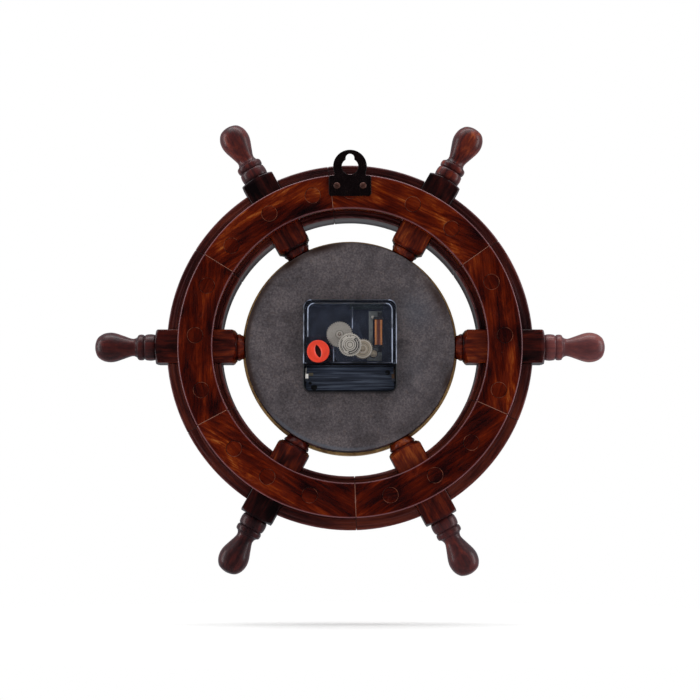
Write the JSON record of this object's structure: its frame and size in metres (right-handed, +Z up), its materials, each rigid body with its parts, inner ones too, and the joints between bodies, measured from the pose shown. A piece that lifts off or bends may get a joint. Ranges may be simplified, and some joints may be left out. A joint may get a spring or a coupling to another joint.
{
  "type": "ship wheel clock",
  "caption": "Wall clock set in the hub of a turned wooden ship's wheel with grip handles, a brass bezel, a geared quartz movement and a keyhole hanger.",
  "frame": {"origin": "the nail's seat: the top of the keyhole slot, on the wall side of the hanger plate", "axes": "+X to the right and +Z up as the dial is read, +Y from the dial towards the wall"},
  "size_m": [0.3042, 0.0436, 0.27],
  "materials": {
    "rim_wood": "dark red-brown mahogany under thick glossy varnish, blotchy stain",
    "spoke_wood": "dark red-brown mahogany, turned and varnished",
    "dowel_end_grain": "end grain under glossy varnish",
    "hub_wood": "varnished wood, mostly hidden",
    "board_grey": "matt fibreboard, dark warm grey with brown specks",
    "brass": "polished brass, lightly aged",
    "dial_face": "cream dial with plain black numerals",
    "clear_glass": "clear flat glass",
    "hand_black": "black gloss",
    "hand_red": "red satin",
    "wheel_plastic": "moulded beige-grey plastic",
    "knob_red": "red-orange moulded plastic",
    "movement_plastic": "near-black smoky plastic, glossy",
    "steel": "plain sheet steel",
    "bobbin_plastic": "grey moulded plastic",
    "copper": "varnished copper wire, bright orange",
    "circuit_board": "dark green board",
    "hanger_steel": "black lacquered steel, scratched",
    "screw_bronze": "dull bronze plating"
  },
  "bodies": {
    "clock_body": {"rim_back_felloe_1": "rim_wood", "rim_back_felloe_2": "rim_wood", "rim_back_felloe_3": "rim_wood", "rim_back_felloe_4": "rim_wood", "rim_back_felloe_5": "rim_wood", "rim_back_felloe_6": "rim_wood", "rim_front_felloe_1": "rim_wood", "rim_front_felloe_2": "rim_wood", "rim_front_felloe_3": "rim_wood", "rim_front_felloe_4": "rim_wood", "rim_front_felloe_5": "rim_wood", "rim_front_felloe_6": "rim_wood", "rim_dowel_1": "dowel_end_grain", "rim_dowel_2": "dowel_end_grain", "rim_dowel_3": "dowel_end_grain", "rim_dowel_4": "dowel_end_grain", "rim_dowel_5": "dowel_end_grain", "rim_dowel_6": "dowel_end_grain", "rim_dowel_7": "dowel_end_grain", "rim_dowel_8": "dowel_end_grain", "rim_dowel_9": "dowel_end_grain", "rim_dowel_10": "dowel_end_grain", "rim_dowel_11": "dowel_end_grain", "rim_dowel_12": "dowel_end_grain", "spoke_1": "spoke_wood", "spoke_2": "spoke_wood", "spoke_3": "spoke_wood", "spoke_4": "spoke_wood", "spoke_5": "spoke_wood", "spoke_6": "spoke_wood", "hub_body": "hub_wood", "back_board": "board_grey", "brass_bezel": "brass", "dial": "dial_face", "glass": "clear_glass", "shaft_nut": "brass", "movement_base": "movement_plastic", "middle_plate": "movement_plastic", "movement_cover": "movement_plastic", "stator": "steel", "coil_bobbin": "bobbin_plastic", "coil_winding": "copper", "circuit_board": "circuit_board", "contact_minus": "steel", "contact_plus": "steel", "hanger_plate": "hanger_steel", "hanger_screw_1": "screw_bronze", "hanger_screw_2": "screw_bronze"},
    "seconds_group": {"seconds_wheel": "wheel_plastic", "seconds_hand": "hand_red"},
    "rotor_group": {"rotor": "steel"},
    "transfer_group": {"transfer_wheel": "wheel_plastic"},
    "third_group": {"third_wheel": "wheel_plastic"},
    "centre_group": {"centre_wheel": "wheel_plastic"},
    "minute_group": {"cannon_pinion": "brass", "minute_hand": "hand_black"},
    "motion_group": {"motion_wheel": "wheel_plastic"},
    "hour_group": {"hour_wheel": "wheel_plastic", "hour_hand": "hand_black"},
    "knob_group": {"set_knob": "knob_red"}
  },
  "joints": [
    {"name": "seconds_turn", "type": "hinge", "parent": "clock_body", "child": "seconds_group", "pos_m": [0, -0.003, -0.1134], "axis": [0, 1, 0], "continuous": true},
    {"name": "rotor_turn", "type": "hinge", "parent": "clock_body", "child": "rotor_group", "pos_m": [-0.014, -0.0072, -0.11832], "axis": [0, 1, 0], "continuous": true},
    {"name": "transfer_turn", "type": "hinge", "parent": "clock_body", "child": "transfer_group", "pos_m": [-0.00751, -0.0045, -0.1157], "axis": [0, 1, 0], "continuous": true},
    {"name": "third_turn", "type": "hinge", "parent": "clock_body", "child": "third_group", "pos_m": [0.00615, -0.006, -0.10703], "axis": [0, 1, 0], "continuous": true},
    {"name": "centre_turn", "type": "hinge", "parent": "clock_body", "child": "centre_group", "pos_m": [0, -0.0086, -0.1134], "axis": [0, 1, 0], "continuous": true},
    {"name": "minute_turn", "type": "hinge", "parent": "clock_body", "child": "minute_group", "pos_m": [0, -0.01, -0.1134], "axis": [0, 1, 0], "continuous": true},
    {"name": "motion_turn", "type": "hinge", "parent": "clock_body", "child": "motion_group", "pos_m": [0.00883, -0.01, -0.11661], "axis": [0, 1, 0], "continuous": true},
    {"name": "hour_turn", "type": "hinge", "parent": "clock_body", "child": "hour_group", "pos_m": [0, -0.0114, -0.1134], "axis": [0, 1, 0], "continuous": true},
    {"name": "knob_turn", "type": "hinge", "parent": "clock_body", "child": "knob_group", "pos_m": [0.01867, -0.0019, -0.11748], "axis": [0, 1, 0], "continuous": true}
  ],
  "couplings": [
    {"joint": "rotor_turn", "follows": "seconds_turn", "ratio": 30},
    {"joint": "transfer_turn", "follows": "seconds_turn", "ratio": -6},
    {"joint": "third_turn", "follows": "seconds_turn", "ratio": -0.16667},
    {"joint": "centre_turn", "follows": "seconds_turn", "ratio": 0.016667},
    {"joint": "motion_turn", "follows": "minute_turn", "ratio": -0.33333},
    {"joint": "hour_turn", "follows": "minute_turn", "ratio": 0.083333},
    {"joint": "knob_turn", "follows": "minute_turn", "ratio": 0.83333}
  ]
}
